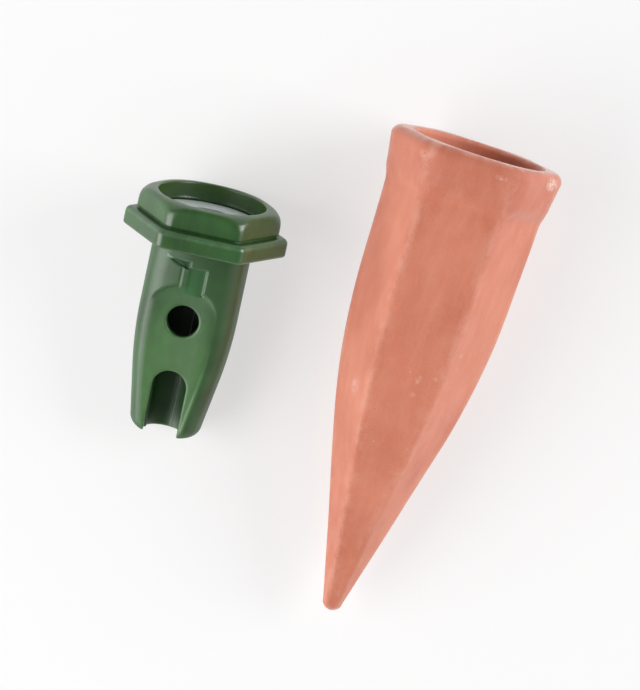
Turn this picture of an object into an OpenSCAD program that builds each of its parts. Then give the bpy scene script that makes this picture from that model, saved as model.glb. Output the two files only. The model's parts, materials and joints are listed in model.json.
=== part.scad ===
// Self-watering spike, shown as it lies when unpacked: a hollow terracotta
// spike with a thick rim, and beside it the moulded adapter that carries an
// upturned bottle, with its rubber washer.
// Each piece is drawn upright, as it stands in the soil, and then laid down.
// Upright, height 0 is where the adapter's flange rests on the spike's rim.

/* [Spike] */
// Overall length of the spike
spike_length = 153; // [130:1:180]
// Width of the body across opposite corners, just under the rim
body_across_corners = 50.8; // [46:0.2:54]
// Sideways lean of each wall of the upper body, in degrees
body_draft = 1.7; // [0:0.1:3]
// Depth of the middle of the bend between the upper body and the point
knee_depth = 70; // [60:1:80]
// Length of that bend, along the axis
knee_length = 50; // [20:1:60]
// Radius of the blunt tip
tip_r = 3.3; // [2:0.1:5]
// Rounding of the six long edges, on the upper body
body_corner_r = 4.5; // [2:0.1:6]
// Rounding of the same edges near the tip
tip_corner_r = 2; // [1:0.1:3]
// Thickness of the fired clay wall
clay_wall = 5; // [4:0.1:6]
// Depth of the hollow
cavity_depth = 124; // [100:1:128]
// Rounding of the hollow's six long corners
cavity_corner_r = 7; // [4:0.1:9]
// Rounding of the hollow's floor
cavity_floor_r = 4; // [2:0.1:5]

/* [Rim] */
// Width of the rim across opposite corners
rim_across_corners = 55.8; // [54:0.2:62]
// Height of the rim
rim_height = 14.5; // [12:0.5:20]
// Rounding of the rim's soft corners, seen from above
rim_corner_r = 13; // [8:0.5:14]
// Rounding of the rim's outer edge
rim_edge_r = 3.1; // [2:0.1:3.4]
// Amount that the rim narrows on each side between its edge and its foot
rim_taper = 1.2; // [0.2:0.1:1.4]
// Diameter of the round mouth
mouth_d = 41.4; // [39:0.2:43]
// Rounding of the mouth's edge
mouth_edge_r = 1.7; // [1:0.1:2]
// Depth at which the flare below the mouth ends
flare_depth = 19; // [15:1:30]

/* [Adapter head] */
// Width of the flange across opposite flats
flange_across_flats = 45.6; // [44:0.2:50]
// Thickness of the flange
flange_h = 5.5; // [4:0.1:8]
// Width of the upper tier across opposite flats
tier_across_flats = 40.2; // [39:0.2:43]
// Height of the upper tier
tier_h = 7.8; // [7.5:0.1:12]
// Rounding of the head's vertical edges
head_corner_r = 2.6; // [1:0.1:5]
// Rounding of the flange's upper and lower edges
flange_edge_r = 1; // [0.4:0.1:1.5]
// Rounding of the upper tier's top edge
tier_edge_r = 2.3; // [0.6:0.1:2.6]
// Height of the shadow groove between the flange and the upper tier
groove_h = 0.9; // [0.4:0.1:1.5]
// Depth of that groove
groove_depth = 0.6; // [0.2:0.1:1]

/* [Bottle socket] */
// Diameter of the socket for the bottle's neck
socket_d = 34.4; // [32:0.2:35]
// Depth of the socket's wall, down to the retaining bead
socket_depth = 5.3; // [4.5:0.1:6]
// Rounding of the socket's lip
lip_r = 0.5; // [0.3:0.1:0.8]
// Height of the retaining bead, along the axis
bead_h = 0.8; // [0.5:0.1:1]
// Amount that the bead stands out from the wall
bead_out = 0.4; // [0.2:0.1:0.5]

/* [Washer] */
// Thickness of the rubber washer
washer_t = 2; // [1:0.1:2.5]
// Diameter of the hole through the washer
washer_hole_d = 18; // [16:0.5:24]
// Gap between the washer's edge and the bead that it passes
washer_clearance = 0.2; // [0.1:0.05:0.5]
// Height of the free space between the washer and the bead
washer_headroom = 0.1; // [0.05:0.05:0.5]

/* [Adapter tube] */
// Length of the tube below the flange
tube_length = 63.2; // [55:0.2:68]
// Diameter of the tube's straight part
tube_d = 31.2; // [29:0.2:33]
// Length of the straight part below the flange
tube_straight = 23; // [20:0.5:30]
// Radius of the curve that leads into the taper
tube_bend_r = 130; // [60:5:140]
// Lean of the tapered part, in degrees
tube_taper = 9.2; // [6:0.1:11]
// Rounding of the tube's end
tube_end_r = 3.6; // [2:0.1:4.5]
// Distance of the front and back flats from the axis, at the flange
flat_at_flange = 10.9; // [10:0.1:12]
// Distance of the front and back flats from the axis, at the tube's end
flat_at_end = 8.5; // [8.2:0.1:9]
// Diameter of the bore at its top
bore_top_d = 14; // [12:0.2:15]
// Diameter of the bore at the tube's end
bore_end_d = 11.4; // [11.2:0.2:12]

/* [Front of the tube] */
// Diameter of the round water port
port_d = 10.2; // [8:0.2:11]
// Depth of the port's centre below the flange
port_depth = 25; // [22:0.5:27]
// Width of the arched air slot
slot_w = 10.8; // [8:0.2:11]
// Depth of the slot's round top below the flange
slot_top_depth = 41.7; // [38:0.2:48]
// Depth of the scooped recess at its middle
recess_depth = 1.5; // [0.8:0.1:1.6]
// Width of the band between the recess and the tube's side
recess_band = 4.9; // [4.2:0.1:5.2]
// Radius of the scoop across the recess
recess_scoop_r = 75; // [60:5:150]
// Width of the notch above the recess
notch_w = 8.4; // [5:0.2:9]
// Distance of the notch's left edge from the middle of the tube
notch_left = 3.6; // [1:0.1:5]
// Width of the slanting wall on the notch's left side
notch_bevel = 2.8; // [1:0.1:3]
// Depth of the notch's top below the flange
notch_top_depth = 7.2; // [6.6:0.1:9]
// How far the notch is cut in
notch_cut = 1.8; // [1:0.1:2]
// How far the notch's arm rises towards the flange
arm_rise = 1.9; // [1:0.1:3]
// Slope of the arm's lower edge, in degrees
arm_slope = 24; // [20:1:45]

/* [Layout on the table] */
// Lean of the spike, clockwise from straight ahead, in degrees
spike_lean = 17.9; // [0:0.1:30]
// Lean of the adapter, clockwise from straight ahead, in degrees
adapter_lean = 12.4; // [0:0.1:30]
// Sideways place of the middle of the spike's rim seat
spike_x = 42.7; // [30:0.1:60]
// Forward place of the middle of the spike's rim seat
spike_y = 68.6; // [50:0.1:80]
// Distance from the spike's rim seat to the adapter's flange, sideways
adapter_apart_x = 86.1; // [70:0.5:120]
// Distance by which the adapter's flange lies nearer to the viewer
adapter_apart_y = 28.5; // [0:0.5:60]

/* [Hidden] */
$fn = 96;
// Small overlap that keeps cuts clear of shared faces
eps = 0.01;
// Facets in each rounded corner of a hexagonal ring
corner_steps = 6;
// A ring's corner rounding stays under this share of its reach, so that its flats keep some width
roundest = 0.97;
// A rounded edge takes up at most this share of the wall that it is on
edge_share = 0.8;
// Shares of the rim's crest that its outer and inner rounded edges take up at most
outer_share = 0.64;
inner_share = 0.35;

// Hexagons: reach is from the axis to a corner, flat is from the axis to a flat.
hex_turn = 60;
hex_share = cos(hex_turn / 2);
function flat_of(reach, r) = (reach - r) * hex_share + r;
function reach_of(flat, r) = (flat - r) / hex_share + r;

// Points of a hexagon with rounded corners, at height z
function hex_ring(reach, r, z) =
    let (round_r = min(r, reach * roundest))
    [for (corner = [0:5], step = [0:corner_steps])
        let (middle = corner * hex_turn, facing = middle + hex_turn * (step / corner_steps - 1 / 2))
        [(reach - round_r) * cos(middle) + round_r * cos(facing),
         (reach - round_r) * sin(middle) + round_r * sin(facing),
         z]];

// Solid that runs through a list of rings, from the lowest to the highest
module loft(rings) {
    sides = len(rings[0]);
    last = len(rings) - 1;
    walls = [for (k = [0:last - 1], i = [0:sides - 1], upper = [0, 1])
        let (a = k * sides + i, b = k * sides + (i + 1) % sides)
        upper == 0 ? [a, a + sides, b] : [b, a + sides, b + sides]];
    bottom = [for (i = [0:sides - 1]) i];
    top = [for (i = [sides - 1:-1:0]) last * sides + i];
    polyhedron(points = [for (ring = rings) each ring], faces = concat([bottom], walls, [top]));
}

// Spike profile: half the width across corners, at a depth below the mouth
body_reach = body_across_corners / 2;
rim_reach = rim_across_corners / 2;
mouth_r = mouth_d / 2;
// The rim's two rounded edges share the width between the mouth and the rim's flats
crest_w = flat_of(rim_reach, rim_corner_r) - mouth_r;
outer_edge_r = min(rim_edge_r, crest_w * outer_share);
inner_edge_r = min(mouth_edge_r, crest_w * inner_share);
knee_start = knee_depth - knee_length / 2;
knee_end = knee_depth + knee_length / 2;
tip_centre = spike_length - tip_r;
draft_slope = tan(body_draft);
knee_reach = body_reach - (knee_start - rim_height) * draft_slope;
// The slope of the point is the one that meets the round tip
point_slope = (knee_reach - knee_length * draft_slope / 2 - tip_r)
    / (knee_length / 2 + tip_centre - knee_end);
point_angle = atan(point_slope);
function spike_reach(depth) =
    depth < knee_start ? body_reach - (depth - rim_height) * draft_slope
    : depth < knee_end ?
        let (past = depth - knee_start)
        knee_reach - past * draft_slope
            - past * past * (point_slope - draft_slope) / (2 * knee_length)
    : knee_reach - knee_length * (draft_slope + point_slope) / 2
        - (depth - knee_end) * point_slope;
// The long edges grow crisper along the point
function spike_corner_r(depth) =
    let (along = (depth - knee_start) / (tip_centre - knee_start))
    body_corner_r + (tip_corner_r - body_corner_r) * max(0, along);
function spike_flat(depth) = flat_of(spike_reach(depth), spike_corner_r(depth));

knee_steps = 9;
edge_steps = 6;
tip_steps = 6;
// Depths of the rings on the straight and curved lengths
body_depths = concat([rim_height], [for (i = [0:knee_steps]) knee_start + knee_length * i / knee_steps]);
function tip_ring(angle) =
    hex_ring(tip_r * cos(angle), tip_corner_r, -(tip_centre + tip_r * sin(angle)));

// Outside of the spike, from the tip up to the rim's foot
tip_rings = [for (i = [tip_steps - 1:-1:0])
    tip_ring(point_angle + (90 - point_angle) * i / tip_steps)];
body_rings = [for (i = [len(body_depths) - 1:-1:0])
    hex_ring(spike_reach(body_depths[i]), spike_corner_r(body_depths[i]), -body_depths[i])];
// Rim: a short undercut, the tapered side, and the rounded outer edge
rim_foot = rim_height - (rim_reach - rim_taper - body_reach);
rim_rings = concat(
    [hex_ring(rim_reach - rim_taper, rim_corner_r, -rim_foot)],
    [for (i = [0:edge_steps]) let (angle = 90 * i / edge_steps, inset = outer_edge_r * (1 - cos(angle)))
        hex_ring(rim_reach - inset, rim_corner_r - inset, -outer_edge_r * (1 - sin(angle)))]);
// Mouth: the rounded edge, and the flare down to the six-sided hollow
mouth_rings = [for (i = [0:edge_steps]) let (angle = 90 * i / edge_steps, inset = inner_edge_r * sin(angle))
    hex_ring(mouth_r + inner_edge_r - inset, mouth_r, -inner_edge_r * (1 - cos(angle)))];
function cavity_flat(depth) = spike_flat(depth) - clay_wall;
function cavity_ring(depth, inset) =
    let (flat = cavity_flat(depth) - inset, r = min(cavity_corner_r, flat * roundest))
    hex_ring(reach_of(flat, r), r, -depth);
floor_r = min(cavity_flat(cavity_depth) * edge_share, cavity_floor_r);
// The flare eases from the round mouth into the hollow
flare_steps = 5;
flare_rings = [for (i = [1:flare_steps - 1])
    let (share = i / flare_steps, ease = share * share * (3 - 2 * share),
        depth = inner_edge_r + (flare_depth - inner_edge_r) * share,
        flat = mouth_r + (cavity_flat(flare_depth) - mouth_r) * ease,
        r = mouth_r + (cavity_corner_r - mouth_r) * ease)
    hex_ring(reach_of(flat, min(r, flat * roundest)), r, -depth)];
cavity_depths = concat([flare_depth], [for (depth = body_depths) if (depth > flare_depth + 1) depth]);
cavity_rings = concat(
    [for (depth = cavity_depths) cavity_ring(depth, 0)],
    [for (i = [0:edge_steps - 1]) let (angle = 90 * i / edge_steps)
        cavity_ring(cavity_depth - floor_r * (1 - sin(angle)), floor_r * (1 - cos(angle)))]);

module spike_upright() {
    loft(concat(tip_rings, body_rings, rim_rings, mouth_rings, flare_rings, cavity_rings));
}

// Head: upright heights above the flange's underside
flange_flat = flange_across_flats / 2;
tier_flat = tier_across_flats / 2;
tier_foot = flange_h + groove_h;
head_top = tier_foot + tier_h;
socket_r = socket_d / 2;
bead_r = socket_r - bead_out;
bead_top = head_top - socket_depth;
bead_foot = bead_top - bead_h;
washer_seat = bead_foot - washer_headroom - washer_t;
washer_r = bead_r - washer_clearance;
// The tier's rounded top edge leaves room for the socket's lip
tier_top_r = min(tier_edge_r, (tier_flat - socket_r) * edge_share);
// Where an edge rounding eats into a vertical edge's rounding, this much of that one stays
least_corner_r = 0.3;

// Hexagonal block with rounded vertical edges, and rounded edges above and below
module hex_block(flat, foot, height, foot_r, top_r) {
    function ring(inset, z) =
        let (r = max(head_corner_r - inset, least_corner_r))
        hex_ring(reach_of(flat - inset, r), r, z);
    foot_rings = [for (i = [0:edge_steps]) let (angle = 90 * i / edge_steps)
        ring(foot_r * (1 - sin(angle)), foot + foot_r * (1 - cos(angle)))];
    top_rings = [for (i = [0:edge_steps]) let (angle = 90 * i / edge_steps)
        ring(top_r * (1 - cos(angle)), foot + height - top_r * (1 - sin(angle)))];
    loft(concat(foot_rings, top_rings));
}

module head() {
    hex_block(flange_flat, 0, flange_h, flange_edge_r, flange_edge_r);
    cylinder(r = tier_flat - groove_depth, h = tier_foot + eps);
    hex_block(tier_flat, tier_foot, tier_h, groove_depth, tier_top_r);
}

// Tube: the outline on one side of the axis, from the flange down to the end
tube_r = tube_d / 2;
bend_steps = 6;
bend_foot = tube_straight + tube_bend_r * sin(tube_taper);
bend_r_at_foot = tube_r - tube_bend_r * (1 - cos(tube_taper));
function tube_radius(depth) =
    depth < tube_straight ? tube_r
    : depth < bend_foot ? tube_r - tube_bend_r + sqrt(pow(tube_bend_r, 2) - pow(depth - tube_straight, 2))
    : bend_r_at_foot - (depth - bend_foot) * tan(tube_taper);
// The end's rounding touches the taper and the square-cut end
end_centre_depth = tube_length - tube_end_r;
end_centre_r = tube_radius(end_centre_depth) - tube_end_r / cos(tube_taper);
tube_outline = concat(
    [[0, eps], [tube_r, eps]],
    [for (i = [0:bend_steps]) let (depth = tube_straight + (bend_foot - tube_straight) * i / bend_steps)
        [tube_radius(depth), -depth]],
    [for (i = [0:edge_steps]) let (angle = tube_taper + (90 - tube_taper) * i / edge_steps)
        [end_centre_r + tube_end_r * cos(angle), -(end_centre_depth + tube_end_r * sin(angle))]],
    [[0, -tube_length]]);

// How far the notch runs into the recess
notch_overlap = 1.5;
// The flats lean in towards the end
flat_lean = atan((flat_at_flange - flat_at_end) / tube_length);

// Front face of the tube is the side towards negative Y
module tube_solid() {
    intersection() {
        rotate_extrude() polygon(tube_outline);
        rotate([90, 0, 90]) linear_extrude(height = tube_d, center = true)
            polygon([
                [-flat_at_flange, eps], [flat_at_flange, eps],
                [flat_at_end, -tube_length], [-flat_at_end, -tube_length]]);
    }
}

// Tongue-shaped outline that keeps an even band beside the tube's outline
recess_steps = 8;
recess_r = tube_r - recess_band;
recess_side = [for (i = [0:recess_steps])
    let (depth = port_depth + (tube_length + 1 - port_depth) * i / recess_steps)
    [tube_radius(depth) - recess_band, -depth]];
recess_outline = concat(
    [for (angle = [180:-7.5:7.5]) [recess_r * cos(angle), recess_r * sin(angle) - port_depth]],
    recess_side,
    [for (i = [recess_steps:-1:1]) [-recess_side[i][0], recess_side[i][1]]]);

// Stands a flat outline on the tube's front, and pushes it in to the given distance from the axis
module from_front(inner) {
    translate([0, -inner, 0]) rotate([90, 0, 0]) linear_extrude(height = tube_d) children();
}

module recess_cut() {
    intersection() {
        from_front(bore_end_d / 2) polygon(recess_outline);
        translate([0, -(flat_at_flange - recess_depth), 0]) rotate([flat_lean, 0, 0])
            translate([0, -recess_scoop_r, -tube_length * 1.2])
                cylinder(r = recess_scoop_r, h = tube_length * 1.4);
    }
}

// Notch between the flange and the recess: its left side slants, and its arm widens up towards the flange
module notch_cut_out() {
    left = -notch_left;
    right = left + notch_w;
    inner_left = left + notch_bevel;
    top = notch_top_depth;
    arm_top = top - arm_rise;
    foot = port_depth - recess_r + notch_overlap;
    face = flat_at_flange - top * tan(flat_lean);
    from_front(face - notch_cut) polygon([
        [inner_left, -foot], [inner_left, -top - notch_bevel], [left, -top],
        [left - arm_rise / tan(arm_slope), -arm_top], [inner_left, -arm_top],
        [inner_left, -top], [right, -top], [right, -foot]]);
    translate([0, 0, -foot]) linear_extrude(height = foot - top) polygon([
        [left - notch_bevel, -face - notch_cut], [inner_left, -face + notch_cut],
        [inner_left + eps, -face - notch_cut]]);
}

module port_cut() {
    translate([0, 0, -port_depth]) rotate([90, 0, 0]) cylinder(d = port_d, h = tube_d);
}

module slot_cut() {
    arch_depth = slot_top_depth + slot_w / 2;
    translate([0, 0, -arch_depth]) rotate([90, 0, 0]) cylinder(d = slot_w, h = tube_d);
    translate([-slot_w / 2, -tube_d, -tube_length - 1]) cube([slot_w, tube_d, tube_length + 1 - arch_depth]);
}

// Socket for the bottle's neck, with its lip, retaining bead and washer seat, and the bore below it
module inner_space() {
    difference() {
        translate([0, 0, washer_seat]) cylinder(r = socket_r, h = head_top + 1 - washer_seat);
        rotate_extrude() polygon([
            [socket_r + 1, bead_top], [socket_r, bead_top],
            [bead_r, bead_top - bead_h / 3], [bead_r, bead_foot + bead_h / 3],
            [socket_r, bead_foot], [socket_r + 1, bead_foot]]);
    }
    rotate_extrude() difference() {
        translate([socket_r - eps, head_top - lip_r]) square([lip_r + eps, lip_r + 1]);
        translate([socket_r + lip_r, head_top - lip_r]) circle(r = lip_r);
    }
    translate([0, 0, -tube_length]) cylinder(d1 = bore_end_d, d2 = bore_top_d, h = tube_length + washer_seat + eps);
    translate([0, 0, -tube_length - 1]) cylinder(d = bore_end_d, h = 1 + eps);
}

module adapter_upright() {
    difference() {
        union() {
            head();
            tube_solid();
        }
        inner_space();
        recess_cut();
        notch_cut_out();
        port_cut();
        slot_cut();
    }
}

module washer_upright() {
    translate([0, 0, washer_seat]) difference() {
        cylinder(r = washer_r, h = washer_t);
        translate([0, 0, -1]) cylinder(d = washer_hole_d, h = washer_t + 2);
    }
}

// Lying down: each piece touches the table at two places on its lower side.
// A touch is [upright height, distance from the axis, rounding].
function rest_tilt(high, low) =
    let (along = high[0] - low[0], out = high[1] - low[1])
    atan2(out, along) + asin((high[2] - low[2]) / norm([along, out]));
function rest_height(touch, tilt) = touch[2] - touch[0] * sin(tilt) + touch[1] * cos(tilt);

// The spike rests on its rim and on the bend of its body, and the tip stays clear of the table
rim_touch = [-outer_edge_r, flat_of(rim_reach - outer_edge_r, rim_corner_r - outer_edge_r), outer_edge_r];
spike_tilt = min([for (depth = body_depths)
    rest_tilt(rim_touch, [-depth, spike_flat(depth), 0])]);
spike_height = rest_height(rim_touch, spike_tilt);

// The adapter rests on its flange and on the end of its tube
flange_touch = [flange_edge_r, flange_flat - flange_edge_r, flange_edge_r];
tube_touch = [-tube_length, flat_at_end, 0];
adapter_tilt = rest_tilt(flange_touch, tube_touch);
adapter_height = rest_height(flange_touch, adapter_tilt);

// Lays an upright piece on its back, with its upper end raised by tilt and turned by lean
module lay_down(tilt, lean, at) {
    translate(at) rotate([0, 0, -lean]) rotate([tilt - 90, 0, 0]) children();
}

module terracotta_spike() {
    color([0.78, 0.50, 0.40]) lay_down(spike_tilt, spike_lean, [spike_x, spike_y, spike_height])
        spike_upright();
}

module lay_adapter() {
    lay_down(adapter_tilt, adapter_lean,
        [spike_x - adapter_apart_x, spike_y - adapter_apart_y, adapter_height]) children();
}

module bottle_adapter() {
    color([0.20, 0.36, 0.19]) lay_adapter() adapter_upright();
}

module seal_washer() {
    color([0.70, 0.73, 0.79]) lay_adapter() washer_upright();
}

terracotta_spike();
bottle_adapter();
seal_washer();
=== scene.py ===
# %% [markdown]
# # A self-watering spike, unpacked on a white table
# A hollow terracotta spike and its green bottle adapter lie side by side.
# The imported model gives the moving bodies, the washer and the adapter's place. The spike's
# place is typed below, as the solids have it. This script gives each piece its finished
# surface, and builds the table, the light and the camera.

# %% Load the frame
import json
import math

import bpy
import numpy as np
from mathutils import Matrix, Vector


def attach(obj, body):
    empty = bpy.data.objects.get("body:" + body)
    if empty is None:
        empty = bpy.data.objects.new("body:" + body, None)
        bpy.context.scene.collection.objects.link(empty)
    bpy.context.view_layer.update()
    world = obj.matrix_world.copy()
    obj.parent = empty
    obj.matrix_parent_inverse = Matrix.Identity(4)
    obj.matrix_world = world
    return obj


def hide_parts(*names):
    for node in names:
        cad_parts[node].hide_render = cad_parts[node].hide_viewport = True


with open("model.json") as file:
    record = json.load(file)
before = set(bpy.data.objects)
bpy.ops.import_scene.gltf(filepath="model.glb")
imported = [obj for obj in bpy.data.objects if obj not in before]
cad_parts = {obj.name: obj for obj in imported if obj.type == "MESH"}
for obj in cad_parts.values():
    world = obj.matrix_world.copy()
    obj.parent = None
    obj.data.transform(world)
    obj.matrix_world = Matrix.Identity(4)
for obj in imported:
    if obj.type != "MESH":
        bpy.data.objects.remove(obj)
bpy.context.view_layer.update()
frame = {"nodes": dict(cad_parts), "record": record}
MM = 0.001

# %% [markdown]
# Both pieces are described upright, as they stand in a plant pot, in millimetres. Height 0 is
# the level at which the adapter's flange rests on the spike's rim, and the front is towards
# negative Y. A piece is then laid on the table by one matrix. The adapter's matrix is read from
# the frame: its bottle socket has a place and an axis.

# %% Lay-down matrices
HEAD_TOP = 14.2
LIP_R = 0.5
SOCKET_DEPTH = 5.3
SPIKE_LEAN = 17.9
SPIKE_SEAT = (42.7, 68.6)


def laid_down(tilt, lean, seat):
    """Matrix from upright millimetres to the part's metres.

    Tilt raises the mouth, and lean turns it clockwise.
    """
    turn = Matrix.Rotation(-lean, 4, "Z") @ Matrix.Rotation(tilt - math.pi / 2, 4, "X")
    return Matrix.Translation(seat) @ turn @ Matrix.Scale(MM, 4)


socket = frame["record"]["mounts"][0]
axis = Vector(socket["axis"])
socket_height = HEAD_TOP - (LIP_R + SOCKET_DEPTH) / 2
adapter_lay = laid_down(math.asin(axis.z), math.atan2(axis.x, axis.y),
                        Vector(socket["pos_m"]) - axis * socket_height * MM)
print("adapter tilt", round(math.degrees(math.asin(axis.z)), 2),
      "lean", round(math.degrees(math.atan2(axis.x, axis.y)), 2))

# %% [markdown]
# ## Node maths as Python sums
# The same small class serves the geometry tree and the materials. It wraps an output socket, so
# that `a * 2 + 1` adds the two Math nodes. Any other node comes from `node()`, which sets the
# node's own settings first and then its sockets.

# %% The Sum class and the node() helper


def node(tree, kind, settings=None, **sockets):
    """Adds a node, sets it up, and feeds its sockets.

    An underscore in a socket's name stands for a space, and "_0" is the socket number 0.
    """
    made = tree.nodes.new(kind)
    for name, value in (settings or {}).items():
        setattr(made, name, value)
    for name, value in sockets.items():
        key = int(name[1:]) if name[1:].isdigit() else name.replace("_", " ")
        feed(tree, made.inputs[key], value)
    return made


def feed(tree, socket, value):
    """Links or sets one input."""
    if isinstance(value, Sum):
        tree.links.new(value.out, socket)
    elif isinstance(value, bpy.types.NodeSocket):
        tree.links.new(value, socket)
    else:
        socket.default_value = value


class Sum:
    """An output socket that can be used in sums."""

    def __init__(self, tree, out):
        self.tree, self.out = tree, out

    def math(self, operation, *others):
        made = node(self.tree, "ShaderNodeMath", {"operation": operation})
        for slot, value in zip(made.inputs, (self, *others)):
            feed(self.tree, slot, value)
        return Sum(self.tree, made.outputs[0])

    def __add__(self, other): return self.math("ADD", other)
    def __radd__(self, other): return self.math("ADD", other)
    def __mul__(self, other): return self.math("MULTIPLY", other)
    def __sub__(self, other): return self.math("SUBTRACT", other)
    def __rsub__(self, other): return self.math("MULTIPLY_ADD", -1.0, other)
    def __truediv__(self, other): return self.math("DIVIDE", other)
    def __neg__(self): return self.math("MULTIPLY", -1.0)
    def least(self, other): return self.math("MINIMUM", other)
    def most(self, other): return self.math("MAXIMUM", other)
    def above(self, edge): return self.math("GREATER_THAN", edge)
    def below(self, edge): return self.math("LESS_THAN", edge)
    def root(self): return self.math("SQRT")
    def size(self): return self.math("ABSOLUTE")
    def clamped(self): return self.most(0.0).least(1.0)


def length(a, b):
    """Distance from the origin of the point (a, b)."""
    return (a * a + b * b).root()


def both(a, b, r=0.0):
    """What two solids share. Their edge is rounded to radius r."""
    if not r:
        return a.most(b)
    return a.most(b).least(-r) + length((a + r).most(0.0), (b + r).most(0.0))


def either(a, b, r=0.0):
    """Two solids joined. The corner between them is filled to radius r."""
    return -both(-a, -b, r)


def without(a, b, r=0.0):
    """The first solid with the second cut out of it."""
    return both(a, -b, r)


print("node maths ready")

# %% [markdown]
# ## The bottle adapter
# The real adapter looks like one injection moulding, so every edge has a small radius and every
# corner a fillet. Cuts and bevels easily break down where the slot, the port and the recess
# meet. A distance field does it simply: each solid is a formula that gives the distance to its
# surface, and the formulas combine with rounded edges. A Volume Cube samples the field and Volume
# to Mesh draws the surface at distance zero. Each point then moves along its normal by the
# distance that is left, which takes away the grid's steps.

# %% The adapter's sizes, in millimetres
COS30 = math.cos(math.radians(30))
TAN30 = math.tan(math.radians(30))
ADAPTER = {
    "flange flat": 22.8, "flange height": 6.0, "tier flat": 20.1, "tier foot": 6.4,
    "head top": HEAD_TOP, "groove depth": 0.6, "socket radius": 17.2, "bead middle": 8.5,
    "washer seat": 6.0, "tube radius": 15.6, "tube straight": 23.0, "bend radius": 130.0,
    "tube length": 63.2, "flat at flange": 10.9, "flat at end": 8.5, "bore top radius": 7.0,
    "bore end radius": 5.7, "port radius": 5.1, "port depth": 25.0, "slot half width": 5.4,
    "slot top depth": 41.7, "recess depth": 1.5, "recess band": 4.1, "scoop radius": 170.0,
    "crown radius": 55.0,
}
TAPER = math.radians(9.2)
FLANGE_CORNER_R = 2.8
FLANGE_FOOT_R = 1.0
FLANGE_TOP_R = 1.8
TIER_CORNER_R = 3.2
TIER_FOOT_R = 0.5
TIER_EDGE_R = 2.3
NUT_REACH = 23.3
NUT_EDGE_R = 6.0
NUT_BLEND_R = 1.0
NECK_HALF = 2.0
NECK_FILLET = 0.2
HEAD_FILLET = 0.5
BEAD_OUT = 0.4
TUBE_OVERLAP = 1.0
TUBE_END_R = 3.6
PANEL_EDGE_R = 2.4
# The shifts move the cuts sideways, and minus is to the left. The recess's and the notch's
# colour marks lie MARK_SHIFT to the right of their cuts.
PORT_SHIFT = -0.9
RECESS_SHIFT = -1.8
NOTCH_SHIFT = -1.2
MARK_SHIFT = 0.9
FRONT_START = 1.0
RECESS_CANT = 0.06
RECESS_FLOOR_R = 0.5
RECESS_EDGE_R = 0.8
OPENING_EDGE_R = 0.45
BORE_EDGE_R = 0.4
NOTCH_FACE = 0.27
NOTCH_LEFT = -3.6
NOTCH_RIGHT = 4.8
NOTCH_BEVEL = 2.8
NOTCH_TOP = 7.2
NOTCH_CUT = 1.8
NOTCH_FOOT = 15.8
NOTCH_FLOOR_R = 0.3
NOTCH_EDGE_R = 0.2
ARM_TOP = 5.3
ARM_SLOPE = math.radians(24)
# Where the painted highlight lies along the notch's left side and its arm.
NOTCH_HIGHLIGHT_REACH = 5.6
NOTCH_HIGHLIGHT_WIDTH = 0.34
NOTCH_HIGHLIGHT_FOOT = 1.6
NOTCH_HIGHLIGHT_BACK = -6.0
print(len(ADAPTER), "named inputs for the adapter's tree")

# %% The adapter's head


def hexagon(x, y, flat, r):
    """Distance to a six-sided column with flats front and back, and corners of radius r."""
    x, y = x.size(), y.size()
    fold = (y * 0.5 - x * COS30).least(0.0) * 2.0
    x, y = x + fold * COS30, y - fold * 0.5
    half_side = (flat - r) * TAN30
    beside = x - x.most(-half_side).least(half_side)
    beyond = y - (flat - r)
    return length(beside, beyond) * beyond.math("SIGN") - r


def head_field(x, y, z, size):
    """Flange and upper tier, with the neck in the shadow groove between them."""
    def block(flat, corner_r, foot, foot_r, top, top_r):
        sides = hexagon(x, y, flat, corner_r)
        return both(sides, z - top, top_r).most(both(sides, foot - z, foot_r))
    tier_flat, above = size["tier flat"], z - size["head top"]
    flange = block(size["flange flat"], FLANGE_CORNER_R, 0.0, FLANGE_FOOT_R,
                   size["flange height"], FLANGE_TOP_R)
    tier = block(tier_flat, TIER_CORNER_R, size["tier foot"], TIER_FOOT_R,
                 size["head top"], TIER_FOOT_R)
    crown = both(tier, hexagon(x, y, tier_flat, TIER_CORNER_R) + above, TIER_EDGE_R)
    nut_corners = both(length(x, y) - NUT_REACH, above, NUT_EDGE_R)
    neck = both(hexagon(x, y, tier_flat - size["groove depth"], TIER_CORNER_R),
                (z - size["flange height"]).size() - NECK_HALF)
    upper = both(tier.most(crown), nut_corners, NUT_BLEND_R)
    return either(either(flange, upper), neck, NECK_FILLET)


print("head field written")

# %% The adapter's tube


def tube_radius(depth, size):
    """The tube's radius: straight, then a long curve into the taper."""
    past = (depth - size["tube straight"]).most(0.0)
    bend_foot = size["bend radius"] * math.sin(TAPER)
    on_bend = (size["bend radius"] * size["bend radius"] - past * past).root()
    bend = size["tube radius"] - size["bend radius"] + on_bend
    taper = size["tube radius"] - size["bend radius"] * (1 - math.cos(TAPER)) \
        - (past - bend_foot) * math.tan(TAPER)
    tapered = past.above(bend_foot)
    return bend + (taper - bend) * tapered


def panel_reach(depth, size):
    """Distance from the axis to the front and back flats."""
    narrowing = (size["flat at flange"] - size["flat at end"]) / size["tube length"]
    return size["flat at flange"] - depth * narrowing


def tube_field(x, y, z, size):
    """Outside of the tube, with its slightly crowned front and back flats."""
    depth = -z
    round_side = (length(x, y) - tube_radius(depth.most(0.0), size)) * math.cos(TAPER / 2)
    ends = both(round_side, depth - size["tube length"], TUBE_END_R)
    flats = length(x, y.size() - panel_reach(depth, size) + size["crown radius"]) \
        - size["crown radius"]
    return both(both(ends, flats, PANEL_EDGE_R), z - TUBE_OVERLAP)


def recess_field(x, y, z, size):
    """The scooped recess on the front, an even band inside the tube's outline."""
    depth = -z
    rise = (size["port depth"] - depth).most(0.0)
    outline = length(x, rise) + size["recess band"] - tube_radius(depth.most(0.0), size)
    floor = panel_reach(depth, size) - size["recess depth"] + x * RECESS_CANT
    scoop = length(x, y + floor + size["scoop radius"]) - size["scoop radius"]
    return both(outline, scoop, RECESS_FLOOR_R)


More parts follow.
